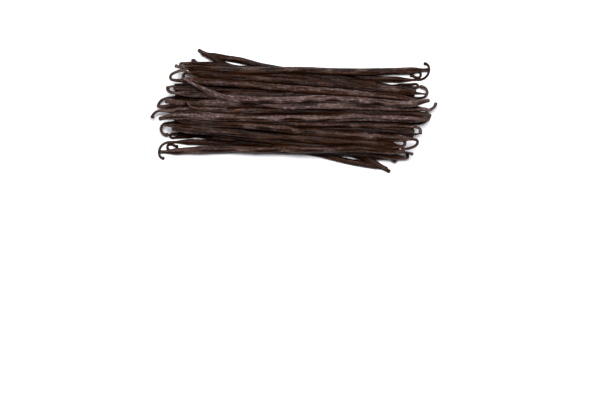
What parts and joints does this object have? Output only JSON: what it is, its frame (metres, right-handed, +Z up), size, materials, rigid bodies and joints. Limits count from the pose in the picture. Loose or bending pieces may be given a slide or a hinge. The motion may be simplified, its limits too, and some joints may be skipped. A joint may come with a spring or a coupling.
{
  "type": "bundle of vanilla pods",
  "caption": "Low heap of long, slender, dark brown cured vanilla pods lying side by side, with thin curled stems and blunt tips splaying at both ends.",
  "frame": {"origin": "on the table, at the centre of the heap's outline", "axes": "+X along the pods, +Y across the heap, +Z up from the table"},
  "size_m": [0.193, 0.0844, 0.0252],
  "materials": {
    "pod_skin": "cured pod skin: near-black brown, finely wrinkled along its length, with an oily half-gloss"
  },
  "bodies": {
    "root": {"pod_bundle": "pod_skin"}
  },
  "joints": []
}
